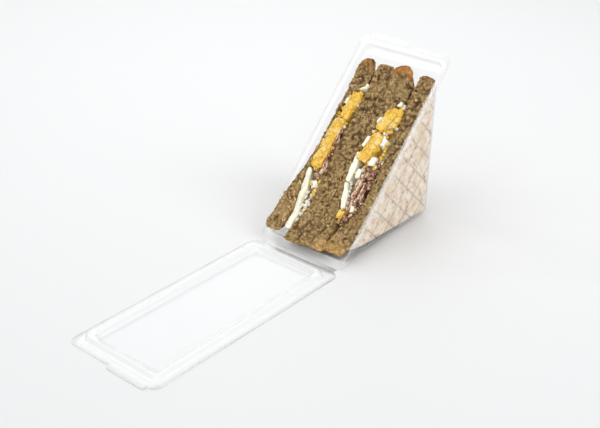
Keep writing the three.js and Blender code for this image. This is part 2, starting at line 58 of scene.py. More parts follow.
# Sizes of the clear pack, in millimetres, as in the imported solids

SHEET = 0.45
PACK_LENGTH = 187.0
PACK_WIDTH = 87.0
FLANGE_CORNER = 7.5
MOUTH_ANGLE = math.radians(45.9)
MOUTH_HALF = 38.0
MOUTH_LOW = 7.5
MOUTH_HIGH = 180.0
MOUTH_CORNER = 6.0
FORM_RADIUS = 0.9
BACK_WALL_Y = 121.5
HEEL_RADIUS = 9.0
SIDE_DRAFT = math.tan(math.radians(2.4))
RECESS_DRAFT = 0.3
RECESS_DEPTH = 5.1
CUT_FACE = 5.25
HINGE_STRIP = 5.2
STRIP_SIDE_GAP = 7.0
STRIP_SHEET = 0.3
STRIP_TUCK = 0.12
STRIP_OVERLAP = 0.25
STRIP_CREASE = 0.12
PLUG_CLEARANCE = 0.6
RIDGE_HEIGHT = 5.5
RIDGE_SIDE_WIDTH = 7.6
RIDGE_END_WIDTH = 6.0
RIDGE_DRAFT = 0.7
RIDGE_ROUND = 1.6
PANEL_CORNER = 5.0
TAB_REACH = 3.4
TAB_CORNER = 3.0
BASE_TAB = (-36.0, 3.5)
LID_TAB = (-1.0, 38.0)
LATTICE_PITCH = 15.8
LATTICE_FIRST_V = 38.5
LATTICE_FIRST_W = 20.5
LATTICE_HEIGHT = 0.4
LATTICE_HALF_WIDTH = 0.85
LATTICE_MARGIN = 7.5
LATTICE_LAST_V = 165.0
LATTICE_LAST_W = 75.0
LATTICE_LEVEL_SHARE = 0.35

SIN = math.sin(MOUTH_ANGLE)
COS = math.cos(MOUTH_ANGLE)
LIFT = SHEET * COS
FRONT_Y = MOUTH_LOW * COS + (LIFT + MOUTH_LOW * SIN) / COS * SIN
MIDDLE_Y = (FRONT_Y + BACK_WALL_Y - HEEL_RADIUS) / 2


def row_points(uvw):
    """Points of the mouth's frame, in millimetres, as points of the row frame, in metres."""
    u, v, w = np.asarray(uvw, float).T
    return np.stack([u, v * COS + w * SIN - MIDDLE_Y, LIFT + v * SIN - w * COS], 1) * MM


def mouth_points(co):
    """Points of the row frame, in metres, as points of the mouth's frame, in millimetres."""
    x, y, z = np.asarray(co, float).T / MM
    y = y + MIDDLE_Y
    z = z - LIFT
    return np.stack([x, y * COS + z * SIN, y * SIN - z * COS], 1)


def smoothstep(low, high, x):
    t = np.clip((np.asarray(x, float) - low) / (high - low), 0, 1)
    return t * t * (3 - 2 * t)


def add_object(name, data):
    obj = bpy.data.objects.new(name, data)
    bpy.context.scene.collection.objects.link(obj)
    return obj


def shade_smooth(mesh):
    for polygon in mesh.polygons:
        polygon.use_smooth = True


# Camera, light and floor

CAMERA_AT = (0.4690, -0.5450 - MIDDLE_Y * MM, 0.4198)
CAMERA_YAW = math.radians(40.74)
CAMERA_PITCH = math.radians(28.15)
FOCAL_PIXELS = 1075.3
PHOTO_WIDTH = 600
SENSOR_WIDTH = 36.0

# Name, place, what it points at, width and power of each lamp
LAMPS = [
    ("key_softbox", (-1.05, -0.9, 1.85), (0, -0.02, 0.05), 1.9, 16),
    ("back_softbox", (-1.3, 1.1, 1.1), (0, -0.1, 0.0), 1.9, 12),
    ("right_softbox", (1.7, 0.5, 1.3), (0.1, 0.1, 0.05), 1.5, 17),
    ("low_fill", (0.9, -1.3, 0.5), (0.05, 0, 0.03), 0.9, 5.0),
    ("left_glint", (-1.4, -0.2, 0.9), (0, -0.05, 0.03), 0.22, 2.2),
    ("front_glint", (-0.1, -1.5, 1.3), (0, -0.05, 0.03), 0.2, 1.8),
]
STUDIO_LIGHT = 0.56
STUDIO_SEEN = 1.0

FLOOR_HALF = 5.0
FLOOR_GAP = 0.0002
# Painted light: the floor's colour is brightest round a point behind the object and greyer away from it, as
# a pool of light
FLOOR_LIGHT_POOL_AT = (0.0, 0.3, 0.0)
FLOOR_LIGHT_POOL_FADE = (0.1, 1.1)
FLOOR_LIGHT_POOL_WHITES = (0.79, 0.635)
FLOOR_TINT = (0.985, 0.992, 1.0)


def make_camera():
    data = bpy.data.cameras.new("camera")
    data.sensor_fit = "HORIZONTAL"
    data.sensor_width = SENSOR_WIDTH
    data.lens = SENSOR_WIDTH * FOCAL_PIXELS / PHOTO_WIDTH
    camera = add_object("camera", data)
    camera.location = CAMERA_AT
    camera.rotation_euler = (math.pi / 2 - CAMERA_PITCH, 0, CAMERA_YAW)
    bpy.context.scene.camera = camera


def area_lamp(name, location, target, size, power):
    data = bpy.data.lights.new(name, "AREA")
    data.shape = "DISK"
    data.size = size
    data.energy = power
    lamp = add_object(name, data)
    lamp.location = location
    lamp.rotation_euler = (Vector(target) - Vector(location)).to_track_quat("-Z", "Y").to_euler()


def make_light():
    """An even studio, white where it is seen or mirrored, and soft lamps round the object."""
    world = bpy.data.worlds.new("studio")
    bpy.context.scene.world = world
    world.use_nodes = True
    nodes = world.node_tree.nodes
    links = world.node_tree.links
    background = nodes["Background"]
    background.inputs["Color"].default_value = (1.0, 1.0, 1.0, 1)
    path = nodes.new("ShaderNodeLightPath")
    seen = nodes.new("ShaderNodeMath")
    seen.operation = "MAXIMUM"
    strength = nodes.new("ShaderNodeMapRange")
    strength.inputs["To Min"].default_value = STUDIO_LIGHT
    strength.inputs["To Max"].default_value = STUDIO_SEEN
    links.new(path.outputs["Is Camera Ray"], seen.inputs[0])
    links.new(path.outputs["Is Glossy Ray"], seen.inputs[1])
    links.new(seen.outputs[0], strength.inputs["Value"])
    links.new(strength.outputs["Result"], background.inputs["Strength"])
    for lamp in LAMPS:
        area_lamp(*lamp)


def make_floor():
    """A white floor with a painted pool of light: brightest behind the object and painted a little greyer
    away from it.
    """
    mesh = bpy.data.meshes.new("floor")
    corners = [(x * FLOOR_HALF, y * FLOOR_HALF, 0) for x, y in ((-1, -1), (1, -1), (1, 1), (-1, 1))]
    mesh.from_pydata(corners, [], [(0, 1, 2, 3)])
    floor = add_object("floor", mesh)
    floor.location.z = -FLOOR_GAP
    n = Nodes("floor_painted_light_pool")
    away = n.tree.nodes.new("ShaderNodeVectorMath")
    away.operation = "DISTANCE"
    away.inputs[1].default_value = FLOOR_LIGHT_POOL_AT
    n.link(n.coordinates.outputs["Object"], away.inputs[0])
    # Painted pool of light: the floor's white falls off with distance from that point
    white = n.spread(away.outputs["Value"], *FLOOR_LIGHT_POOL_FADE, *FLOOR_LIGHT_POOL_WHITES)
    n.put(n.shader.inputs["Base Color"], n.mix(1.0, white, FLOOR_TINT, "MULTIPLY"))
    n.shader.inputs["Roughness"].default_value = 0.6
    n.shader.inputs["Specular IOR Level"].default_value = 0.2
    mesh.materials.append(n.material)


# Node material helpers

class Nodes:
    """A short way to build one material's node tree."""

    def __init__(self, name):
        self.material = bpy.data.materials.new(name)
        self.material.use_nodes = True
        self.tree = self.material.node_tree
        self.shader = self.tree.nodes["Principled BSDF"]
        self.output = self.tree.nodes["Material Output"]
        self.coordinates = self.tree.nodes.new("ShaderNodeTexCoord")

    def link(self, source, target):
        self.tree.links.new(source, target)

    def put(self, socket, value):
        if isinstance(value, bpy.types.NodeSocket):
            self.link(value, socket)
        else:
            socket.default_value = value

    def noise(self, scale, detail=3.0, roughness=0.55, distortion=0.0):
        node = self.tree.nodes.new("ShaderNodeTexNoise")
        node.inputs["Scale"].default_value = scale
        node.inputs["Detail"].default_value = detail
        node.inputs["Roughness"].default_value = roughness
        node.inputs["Distortion"].default_value = distortion
        self.link(self.coordinates.outputs["Object"], node.inputs["Vector"])
        return node.outputs["Fac"]

    def voronoi(self, scale, feature="F1", smooth=0.5):
        node = self.tree.nodes.new("ShaderNodeTexVoronoi")
        node.feature = feature
        node.inputs["Scale"].default_value = scale
        if feature == "SMOOTH_F1":
            node.inputs["Smoothness"].default_value = smooth
        self.link(self.coordinates.outputs["Object"], node.inputs["Vector"])
        return node.outputs["Distance"]

    def ramp(self, value, stops):
        node = self.tree.nodes.new("ShaderNodeValToRGB")
        node.color_ramp.interpolation = "EASE"
        elements = node.color_ramp.elements
        while len(elements) < len(stops):
            elements.new(0.5)
        for element, (position, colour) in zip(elements, stops):
            element.position = position
            element.color = (*colour, 1)
        self.link(value, node.inputs["Fac"])
        return node.outputs["Color"]

    def mix(self, factor, a, b, blend="MIX"):
        node = self.tree.nodes.new("ShaderNodeMix")
        node.data_type = "RGBA"
        node.blend_type = blend
        self.put(node.inputs["Factor"], factor)
        for socket, value in ((node.inputs[6], a), (node.inputs[7], b)):
            self.put(socket, (*value, 1) if isinstance(value, tuple) and len(value) == 3 else value)
        return node.outputs[2]

    def math(self, operation, a, b):
        node = self.tree.nodes.new("ShaderNodeMath")
        node.operation = operation
        self.put(node.inputs[0], a)
        self.put(node.inputs[1], b)
        return node.outputs[0]

    def spread(self, value, low, high, to_low=0.0, to_high=1.0):
        node = self.tree.nodes.new("ShaderNodeMapRange")
        node.interpolation_type = "SMOOTHSTEP"
        ends = {"From Min": low, "From Max": high, "To Min": to_low, "To Max": to_high}
        for name, number in ends.items():
            node.inputs[name].default_value = number
        self.link(value, node.inputs["Value"])
        return node.outputs["Result"]

    def mix_shaders(self, factor, a, b):
        node = self.tree.nodes.new("ShaderNodeMixShader")
        self.put(node.inputs[0], factor)
        self.link(a, node.inputs[1])
        self.link(b, node.inputs[2])
        return node.outputs[0]

    def attribute(self, name):
        node = self.tree.nodes.new("ShaderNodeAttribute")
        node.attribute_name = name
        return node.outputs["Fac"]

    def bump(self, height, distance, strength=1.0, normal=None):
        node = self.tree.nodes.new("ShaderNodeBump")
        node.inputs["Strength"].default_value = strength
        node.inputs["Distance"].default_value = distance
        self.link(height, node.inputs["Height"])
        if normal is not None:
            self.link(normal, node.inputs["Normal"])
        return node.outputs["Normal"]


def clear_plastic():
    """Thin clear sheet: seen through, mirror-like at low angles, milky where it was stretched into a rim,
    with painted shade along the pressed lattice lines.
    """
    n = Nodes("clear_plastic")
    n.tree.nodes.remove(n.shader)
    weight = n.tree.nodes.new("ShaderNodeLayerWeight")
    weight.inputs["Blend"].default_value = 0.5
    edge = n.math("POWER", weight.outputs["Facing"], 5.0)
    through = n.tree.nodes.new("ShaderNodeBsdfTransparent")
    tint = n.mix(edge, (0.993, 0.995, 0.995), (0.81, 0.815, 0.82))
    # Painted shade: the see-through colour is darker along the pressed lattice lines
    n.put(through.inputs["Color"], n.mix(n.attribute("crease_painted_shade"), tint, (0.78, 0.78, 0.785)))
    shine = n.tree.nodes.new("ShaderNodeBsdfGlossy")
    n.put(shine.inputs["Roughness"], n.spread(n.noise(60.0, 2.0), 0.3, 0.8, 0.03, 0.09))
    n.put(shine.inputs["Normal"], n.bump(n.noise(30.0, 1.0), 0.0008, 0.3))
    haze = n.tree.nodes.new("ShaderNodeBsdfDiffuse")
    haze.inputs["Color"].default_value = (0.97, 0.97, 0.97, 1)
    mirror = n.math("ADD", n.math("MULTIPLY", edge, 0.75), 0.034)
    milky = n.math("ADD", n.math("MULTIPLY", n.attribute("formed"), 0.13), 0.012)
    cloudy = n.math("ADD", n.math("MULTIPLY", edge, 0.3), milky)
    body = n.mix_shaders(cloudy, through.outputs[0], haze.outputs[0])
    sheet = n.mix_shaders(mirror, body, shine.outputs[0])
    for_shadows = n.tree.nodes.new("ShaderNodeBsdfTransparent")
    for_shadows.inputs["Color"].default_value = (0.985, 0.985, 0.985, 1)
    path = n.tree.nodes.new("ShaderNodeLightPath")
    surface = n.mix_shaders(path.outputs["Is Shadow Ray"], sheet, for_shadows.outputs[0])
    n.link(surface, n.output.inputs["Surface"])
    return n.material


def malted_bread():
    """Open brown crumb on the cut faces, a baked skin where the loaf's crust was, pale slice faces."""
    n = Nodes("malted_bread")
    s = n.shader
    pores = n.voronoi(380.0, "SMOOTH_F1")
    grain = n.noise(620.0, 4.0, 0.68)
    patches = n.noise(110.0, 3.0, 0.6)
    crumb = n.ramp(n.math("ADD", n.math("MULTIPLY", pores, 0.3), n.math("MULTIPLY", grain, 0.75)), [
        (0.34, (0.86, 0.67, 0.35)), (0.48, (0.48, 0.315, 0.13)), (0.62, (0.11, 0.06, 0.022)),
    ])
    crumb = n.mix(n.spread(patches, 0.4, 0.68, 0.0, 0.6), crumb, (0.5, 0.34, 0.14))
    crumb = n.mix(n.spread(n.noise(170.0, 2.0), 0.56, 0.7, 0.0, 0.5), crumb, (0.13, 0.075, 0.032))
    # Painted shade: the crumb is darkened in its pores and in the hollows between its lumps
    pits = n.attribute("pit_painted_shade")
    crumb = n.mix(n.math("MULTIPLY", pits, 0.75), crumb, (0.07, 0.036, 0.014))
    seeds = n.spread(n.voronoi(230.0), 0.0, 0.16, 1.0, 0.0)
    seeds = n.math("MULTIPLY", seeds, n.spread(n.noise(130.0), 0.5, 0.6))
    crumb = n.mix(seeds, crumb, (0.055, 0.026, 0.012))
    crust = n.ramp(n.noise(200.0, 4.0, 0.65), [
        (0.3, (0.66, 0.36, 0.12)), (0.5, (0.45, 0.2, 0.05)), (0.68, (0.17, 0.07, 0.024)),
    ])
    outer = n.ramp(n.noise(190.0, 5.0, 0.7), [
        (0.38, (0.98, 0.9, 0.78)), (0.52, (0.9, 0.76, 0.6)),
        (0.62, (0.62, 0.44, 0.29)), (0.72, (0.25, 0.14, 0.08)),
    ])
    outer = n.mix(n.spread(n.noise(60.0, 3.0, 0.6), 0.45, 0.7, 0.0, 0.65), outer, (0.78, 0.58, 0.4))
    colour = n.mix(n.attribute("outer_face"), crumb, outer)
    colour = n.mix(n.attribute("crust"), colour, crust)
    colour = n.mix(n.attribute("toast"), colour, n.ramp(n.noise(420.0, 4.0, 0.7), [
        (0.35, (0.85, 0.6, 0.28)), (0.5, (0.55, 0.32, 0.1)), (0.66, (0.18, 0.08, 0.028)),
    ]))
    n.put(s.inputs["Base Color"], colour)
    n.put(s.inputs["Roughness"], n.spread(grain, 0.3, 0.7, 0.75, 0.95))
    s.inputs["Specular IOR Level"].default_value = 0.25
    s.inputs["Subsurface Weight"].default_value = 0.05
    s.inputs["Subsurface Scale"].default_value = 0.002
    rough = n.bump(pores, 0.0012, 0.7)
    n.put(s.inputs["Normal"], n.bump(grain, 0.0009, 0.8, rough))
    return n.material


def egg_yolk():
    """Crumbly cooked yolk with paler and deeper spots, and painted shade in the cracks between its chips."""
    n = Nodes("egg_yolk")
    s = n.shader
    grain = n.noise(700.0, 4.0, 0.6)
    patches = n.noise(140.0, 2.0)
    colour = n.ramp(grain, [(0.3, (0.56, 0.3, 0.014)), (0.5, (0.82, 0.5, 0.04)), (0.7, (0.92, 0.67, 0.16))])
    colour = n.mix(n.spread(patches, 0.45, 0.7, 0.0, 0.55), colour, (0.93, 0.77, 0.34))
    # Painted shade: the yolk darkens in the cracks between its chips
    cracks = n.math("MULTIPLY", n.attribute("crevice_painted_shade"), 0.35)
    n.put(s.inputs["Base Color"], n.mix(cracks, colour, (0.45, 0.22, 0.03)))
    s.inputs["Roughness"].default_value = 0.55
    s.inputs["Subsurface Weight"].default_value = 0.15
    s.inputs["Subsurface Radius"].default_value = (1.0, 0.5, 0.1)
    s.inputs["Subsurface Scale"].default_value = 0.002
    n.put(s.inputs["Normal"], n.bump(grain, 0.0004, 0.5))
    return n.material


def egg_white():
    """Moist cooked white, a little see-through at its edges."""
    n = Nodes("egg_white")
    s = n.shader
    patches = n.noise(160.0, 3.0, 0.6)
    n.put(s.inputs["Base Color"], n.ramp(patches, [(0.3, (0.95, 0.93, 0.8)), (0.7, (0.88, 0.86, 0.66))]))
    s.inputs["Roughness"].default_value = 0.28
    s.inputs["Subsurface Weight"].default_value = 0.35
    s.inputs["Subsurface Radius"].default_value = (1.0, 0.9, 0.6)
    s.inputs["Subsurface Scale"].default_value = 0.003
    n.put(s.inputs["Normal"], n.bump(n.noise(300.0, 3.0), 0.0004, 0.35))
    return n.material


def bacon():
    """Streaks of dark lean and pale fat along the rasher."""
    n = Nodes("bacon")
    s = n.shader
    fine = n.noise(420.0, 3.0, 0.6, 0.8)
    streaks = n.math("ADD", fine, n.math("MULTIPLY", n.attribute("streak"), 0.32))
    colour = n.ramp(streaks, [
        (0.36, (0.07, 0.024, 0.012)), (0.47, (0.24, 0.085, 0.04)), (0.54, (0.5, 0.26, 0.15)),
        (0.62, (0.78, 0.6, 0.42)),
    ])
    n.put(s.inputs["Base Color"], colour)
    n.put(s.inputs["Roughness"], n.spread(streaks, 0.35, 0.65, 0.3, 0.5))
    s.inputs["Subsurface Weight"].default_value = 0.15
    s.inputs["Subsurface Radius"].default_value = (1.0, 0.4, 0.3)
    s.inputs["Subsurface Scale"].default_value = 0.0015
    n.put(s.inputs["Normal"], n.bump(streaks, 0.0006, 0.5))
    return n.material


def filling_mash():
    """Chopped egg between the slices, white with yolk through it."""
    n = Nodes("filling_mash")
    s = n.shader
    lumps = n.noise(190.0, 3.0, 0.6, 0.4)
    colour = n.ramp(lumps, [
        (0.36, (0.8, 0.78, 0.62)), (0.5, (0.76, 0.62, 0.3)), (0.62, (0.72, 0.42, 0.07)),
    ])
    n.put(s.inputs["Base Color"], colour)
    s.inputs["Roughness"].default_value = 0.5
    s.inputs["Subsurface Weight"].default_value = 0.2
    s.inputs["Subsurface Scale"].default_value = 0.002
    n.put(s.inputs["Normal"], n.bump(n.noise(420.0, 4.0), 0.0006, 0.6))
    return n.material


# Closed skins through loops

class Grid:
    """Where the points of every loop of a skin lie, so that the lattice falls on rows and columns."""

    corner_steps = 8
    side_u = 60

    def __init__(self, v_stops):
        self.v_stops = np.asarray(v_stops, float)

    def loop(self, half, low, high, corner, w, tab=None):
        """A rounded rectangle, anticlockwise as seen from outside the mouth, as rows of u, v, w."""
        across = min(corner, half)
        along = min(corner, (high - low) / 2)
        points = []

        def arc(u, v, start):
            for k in range(self.corner_steps + 1):
                turn = math.radians(start + 90 * k / self.corner_steps)
                points.append((u + across * math.cos(turn), v + along * math.sin(turn)))

        def end(v, from_u, to_u):
            for k in range(1, self.side_u):
                points.append((from_u + (to_u - from_u) * k / self.side_u, v))

        def side(u, stops):
            for v in stops:
                points.append((u, min(max(v, low + along), high - along)))

        arc(half - across, low + along, -90)
        side(half, self.v_stops)
        arc(half - across, high - along, 0)
        end(high, half - across, across - half)
        arc(across - half, high - along, 90)
        side(-half, self.v_stops[::-1])
        arc(across - half, low + along, 180)
        end(low, across - half, half - across)
        loop = np.array([(u, v, w) for u, v in points])
        if tab:
            loop[:, 1] += tab_reach(loop[:, 0], *tab) * (loop[:, 1] > high - 1e-6)
        return loop


def tab_reach(u, start, stop):
    """How far the pull tab stands out of the flange's end at each u, with round corners."""
    inside = np.minimum(u - start, stop - u)
    ease = np.clip(inside / TAB_CORNER, 0, 1)
    return TAB_REACH * np.sqrt(np.clip(1 - (1 - ease) ** 2, 0, 1)) * (inside > 0)


def skin_object(name, loops, material):
    """One closed object through loops in the row frame, capped at both ends, with smooth shading."""
    count = len(loops[0])
    mesh = bpy.data.meshes.new(name)
    faces = []
    for row in range(len(loops) - 1):
        for k in range(count):
            a = row * count + k
            b = row * count + (k + 1) % count
            faces.append((a, b, b + count, a + count))
    faces.append(tuple(range(count))[::-1])
    last = (len(loops) - 1) * count
    faces.append(tuple(range(last, last + count)))
    mesh.from_pydata(np.concatenate(loops).tolist(), [], faces)
    work = bmesh.new()
    work.from_mesh(mesh)
    bmesh.ops.remove_doubles(work, verts=work.verts, dist=2e-6)
    bmesh.ops.dissolve_degenerate(work, edges=work.edges, dist=1e-6)
    bmesh.ops.recalc_face_normals(work, faces=work.faces)
    work.to_mesh(mesh)
    work.free()
    shade_smooth(mesh)
    mesh.materials.append(material)
    return add_object(name, mesh)


def quarter_turn(steps):
    """Evenly spaced angles from 0 to a right angle."""
    return [math.radians(90 * k / steps) for k in range(steps + 1)]


# Base tray

HEEL_ROWS = 14


def heel_centre(radius, offset):
    """Middle of the rounding between the bottom panel and the back wall, as v and w."""
    y = BACK_WALL_Y - SHEET + offset - radius
    z = SHEET - offset + radius - LIFT
    return y * COS + z * SIN, y * SIN - z * COS


def profile_at(w, offset):
    """Where the wedge's bottom and back wall lie at depth w, as low and high v."""
    radius = HEEL_RADIUS - SHEET + offset
    heel_v, heel_w = heel_centre(radius, offset)
    reach = math.sqrt(max(radius ** 2 - (w - heel_w) ** 2, 0))
    low = (w * COS + SHEET - offset - LIFT) / SIN if w < heel_w + radius * COS else heel_v - reach
    high = (BACK_WALL_Y - SHEET + offset - w * SIN) / COS if w < heel_w + radius * SIN else heel_v + reach
    return max(low, MOUTH_LOW + RECESS_DRAFT - offset), high


def wall_half(w, offset):
    """Half the distance between the side walls at depth w."""
    return MOUTH_HALF + offset - w * SIDE_DRAFT


def lattice_v():
    return np.arange(LATTICE_FIRST_V, LATTICE_LAST_V, LATTICE_PITCH)


def lattice_w():
    return np.arange(LATTICE_FIRST_W, LATTICE_LAST_W, LATTICE_PITCH)


def rib(distance):
    """Height of a pressed line, from 1 on it to 0 at its edges."""
    return np.cos(np.clip(np.abs(distance) / LATTICE_HALF_WIDTH, 0, 1) * math.pi / 2) ** 2


def lattice_height(v, w):
    """How far the pressed lattice pushes the side wall out at each point."""
    low, high = profile_at(w, 0.0)
    top = RECESS_DEPTH + LATTICE_MARGIN
    edge = np.minimum(v - low, high - v) - LATTICE_MARGIN + 1.5
    fade = smoothstep(0, 2.0, edge) * smoothstep(top - 2.0, top, w)
    upright = np.max([rib(v - line) for line in lattice_v()], axis=0)
    level = np.max([rib(w - line) for line in lattice_w()], axis=0)
    return LATTICE_HEIGHT * fade * np.maximum(upright, LATTICE_LEVEL_SHARE * level)


def fine_stops(low, high, step, lines):
    """Evenly spaced stops with closer ones round each line."""
    stops = list(np.arange(low, high, step))
    for line in lines:
        stops = [s for s in stops if abs(s - line) > LATTICE_HALF_WIDTH + 0.4]
        stops += [line + LATTICE_HALF_WIDTH * k / 3 for k in range(-3, 4)]
    return sorted(stops)


def tray_skin(grid, offset):
    """One skin of the tray: flange, mouth edge, recess, ledge, walls with lattice, and rounded heel."""
    def mouth(grow, w):
        return grid.loop(MOUTH_HALF + offset + grow, MOUTH_LOW - offset - grow, MOUTH_HIGH + offset + grow,
                         MOUTH_CORNER + offset + grow, w)

    def recess(grow, w):
        return grid.loop(wall_half(w, offset), MOUTH_LOW + RECESS_DRAFT - offset,
                         MOUTH_HIGH - RECESS_DRAFT + offset + grow, MOUTH_CORNER + offset, w)

    def wedge(w):
        low, high = profile_at(w, offset)
        loop = grid.loop(wall_half(w, offset), low, high, MOUTH_CORNER + offset, w)
        side = np.abs(loop[:, 0]) > wall_half(w, offset) - 1e-6
        loop[:, 0] += np.sign(loop[:, 0]) * lattice_height(loop[:, 1], w) * side
        return loop

    ledge = RECESS_DEPTH + offset
    loops = [grid.loop(PACK_WIDTH / 2, 0, PACK_LENGTH, FLANGE_CORNER, offset, BASE_TAB)]
    for turn in quarter_turn(4):
        loops.append(mouth(FORM_RADIUS * (1 - math.sin(turn)), offset + FORM_RADIUS * (1 - math.cos(turn))))
    for turn in quarter_turn(4):
        loops.append(recess(-FORM_RADIUS * (1 - math.cos(turn)), ledge - FORM_RADIUS * (1 - math.sin(turn))))
    radius = HEEL_RADIUS - SHEET + offset
    _, heel_w = heel_centre(radius, offset)
    heel_start = heel_w + radius * min(SIN, COS)
    for w in fine_stops(ledge + 0.05, heel_start - 0.5, 3.0, lattice_w()):
        loops.append(wedge(w))
    start = math.acos((heel_start - heel_w) / radius)
    for k in range(HEEL_ROWS):
        loops.append(wedge(heel_w + radius * math.cos(start * (1 - k / (HEEL_ROWS - 0.8)))))
    return loops


def make_tray(material):
    grid = Grid(fine_stops(9.0, 174.0, 4.0, lattice_v()))
    loops = tray_skin(grid, SHEET)[::-1] + tray_skin(grid, 0.0)
    tray = skin_object("tray_shell", [row_points(loop) for loop in loops], material)
    co, _ = get_points(tray.data)
    u, v, w = mouth_points(co).T
    on_side = np.abs(u) > MOUTH_HALF - w * SIDE_DRAFT - 0.3
    height = np.array([lattice_height(np.array([a]), b)[0] for a, b in zip(v, w)]) / LATTICE_HEIGHT
    # The pressed lines of the side walls, where the plastic's colour is darkened as painted shade
    set_attribute(tray.data, "crease_painted_shade", 4 * height * (1 - height) * on_side * (w > RECESS_DEPTH))
    set_attribute(tray.data, "formed", 0.6 * (1 - smoothstep(0.2, RECESS_DEPTH, w)))
    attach(tray, "base")
    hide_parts("base_tray")


# Lid

RIDGE_FOOT = 0.7
PANEL_RINGS = (3, 7, 12, 17, 22, 27)
PANEL_WAVE = 40
PANEL_SWELL = 0.12


def lid_skin(grid, offset):
    """One skin of the flat lid, as rows of u, v, w with w as the height over the table."""
    z = SHEET - offset
    top = RIDGE_HEIGHT - offset
    outer = dict(half=MOUTH_HALF - PLUG_CLEARANCE - offset, low=MOUTH_LOW + PLUG_CLEARANCE + offset,
                 high=MOUTH_HIGH - PLUG_CLEARANCE - offset, corner=MOUTH_CORNER - offset)
    inner = dict(half=outer["half"] - RIDGE_SIDE_WIDTH + 2 * offset,
                 low=outer["low"] + RIDGE_END_WIDTH - 2 * offset,
                 high=outer["high"] - RIDGE_END_WIDTH + 2 * offset, corner=PANEL_CORNER + offset)

    def ring(edge, shrink, height):
        return grid.loop(edge["half"] - shrink, edge["low"] + shrink, edge["high"] - shrink,
                         edge["corner"], height)

    loops = [grid.loop(PACK_WIDTH / 2, 0, PACK_LENGTH, FLANGE_CORNER, z, LID_TAB)]
    foot = RIDGE_FOOT
    loops += [ring(outer, -foot, z), ring(outer, -foot * 0.25, z + foot * 0.2), ring(outer, 0.1, z + foot)]
    for turn in quarter_turn(5):
        loops.append(ring(outer, RIDGE_DRAFT + RIDGE_ROUND * (1 - math.cos(turn)),
                          top - RIDGE_ROUND * (1 - math.sin(turn))))
    for turn in quarter_turn(5):
        loops.append(ring(inner, -RIDGE_DRAFT - RIDGE_ROUND * (1 - math.sin(turn)),
                          top - RIDGE_ROUND * (1 - math.cos(turn))))
    loops += [ring(inner, -0.1, z + foot), ring(inner, foot * 0.25, z + foot * 0.2), ring(inner, foot, z)]
    for shrink in PANEL_RINGS:
        loop = ring(inner, shrink, z)
        swell = [max(noise.noise(Vector((u / PANEL_WAVE, v / PANEL_WAVE, 1.7))), 0) for u, v, _ in loop]
        loop[:, 2] += PANEL_SWELL * np.array(swell)
        loops.append(loop)
    return loops


def make_lid(material):
    grid = Grid(np.linspace(12, 174, 40))
    loops = lid_skin(grid, SHEET)[::-1] + lid_skin(grid, 0.0)
    placed = []
    for loop in loops:
        u, s, z = loop.T
        placed.append(np.stack([u, -HINGE_STRIP - s - MIDDLE_Y, z], 1) * MM)
    lid = skin_object("lid_shell", placed, material)
    co, _ = get_points(lid.data)
    side = MOUTH_HALF - PLUG_CLEARANCE - RIDGE_SIDE_WIDTH - np.abs(co[:, 0] / MM)
    along = -HINGE_STRIP - MIDDLE_Y - co[:, 1] / MM
    ends = np.minimum(along - MOUTH_LOW - RIDGE_END_WIDTH, MOUTH_HIGH - RIDGE_END_WIDTH - along)
    set_attribute(lid.data, "formed", 1 - smoothstep(-1.0, 1.5, np.minimum(side, ends)))
    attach(lid, "lid")
    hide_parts("lid")


def make_hinge_strip(material):
    """The thin strip between the flanges."""
    half = (PACK_WIDTH / 2 - STRIP_SIDE_GAP) * MM
    length = HINGE_STRIP + STRIP_OVERLAP
    rows = 16
    loops = []
    for k in range(rows + 1):
        t = k / rows
        y = (STRIP_TUCK - length * t - MIDDLE_Y) * MM
        groove = math.exp(-((t - 0.12) / 0.05) ** 2) + math.exp(-((t - 0.88) / 0.05) ** 2)
        top = (STRIP_SHEET - STRIP_CREASE * groove) * MM
        loops.append(np.array([(-half, y, 0), (half, y, 0), (half, y, top), (-half, y, top)]))
    strip = skin_object("hinge_strip", loops, material)
    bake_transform(strip)
    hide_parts("base_tray")


# Sandwich

SLICE_VOXELS = (0.72, 1.3)
FILLING_VOXELS = (1.0, 1.6)
PIECE_VOXELS = (0.4, 0.6)


def soft_copy(node, name, voxels, smooth):
    obj = add_object(name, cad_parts[node].data.copy())
    remesh = obj.modifiers.new("remesh", "REMESH")
    remesh.mode = "VOXEL"
    remesh.voxel_size = voxels[0] * MM
    relax = obj.modifiers.new("relax", "SMOOTH")
    relax.factor = 0.5
    relax.iterations = smooth
    evaluated = obj.evaluated_get(bpy.context.evaluated_depsgraph_get())
    mesh = bpy.data.meshes.new_from_object(evaluated)
    obj.modifiers.clear()
    old = obj.data
    obj.data = mesh
    bpy.data.meshes.remove(old)
    mesh.name = name
    shade_smooth(mesh)
    return obj


def get_points(mesh):
    co = np.zeros(len(mesh.vertices) * 3, np.float32)
    mesh.vertices.foreach_get("co", co)
    normals = np.zeros(len(mesh.vertices) * 3, np.float32)
    mesh.vertices.foreach_get("normal", normals)
    return co.reshape(-1, 3).astype(float), normals.reshape(-1, 3).astype(float)


def set_points(mesh, co):
    mesh.vertices.foreach_set("co", co.astype(np.float32).ravel())
    mesh.update()


def noise_at(co, scale, seed):
    """Smooth noise from -1 to 1 at points in metres, with features of about scale millimetres."""
    shift = Vector((seed * 7.31, seed * 3.77, seed * 5.13))
    factor = 1 / (scale * MM)
    return np.array([noise.noise(Vector(p) * factor + shift) for p in co])


def cells_at(co, scale, seed):
    """Distance to the nearest of scattered points, 0 at a point and about 1 between them."""
    shift = Vector((seed * 4.11, seed * 8.73, seed * 2.19))
    factor = 1 / (scale * MM)
    return np.array([noise.voronoi(Vector(p) * factor + shift)[0][0] for p in co])


TILT_SHIFTS = (Vector((3.1, 5.7, 1.9)), Vector((8.3, 2.2, 6.4)), Vector((4.6, 9.8, 7.5)))


